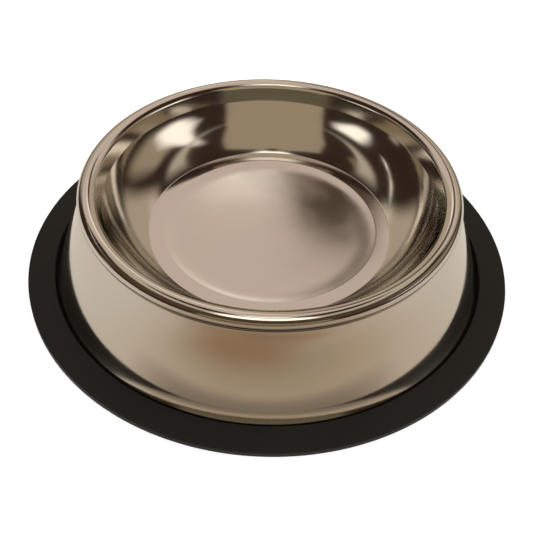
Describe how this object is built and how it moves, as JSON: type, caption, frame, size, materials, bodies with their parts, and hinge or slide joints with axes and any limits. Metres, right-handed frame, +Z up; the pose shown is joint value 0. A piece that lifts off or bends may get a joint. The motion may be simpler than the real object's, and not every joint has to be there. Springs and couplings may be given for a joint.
{
  "type": "non-slip pet bowl",
  "caption": "Pressed stainless steel pet bowl with a rolled rim, a flared skirt and a flat non-slip rubber ring round its foot.",
  "frame": {"origin": "middle of the rubber ring's underside, on the surface that the bowl stands on", "axes": "+Z up along the bowl's axis of turning; the bowl is round, so +X and +Y are free, and +Y is taken as away from the picture's viewer"},
  "size_m": [0.25, 0.25, 0.0524],
  "materials": {
    "steel": "polished, with a faint turned grain on the floor",
    "rubber": "matt moulded"
  },
  "bodies": {
    "root": {"steel_bowl": "steel", "rubber_ring": "rubber"}
  },
  "joints": []
}
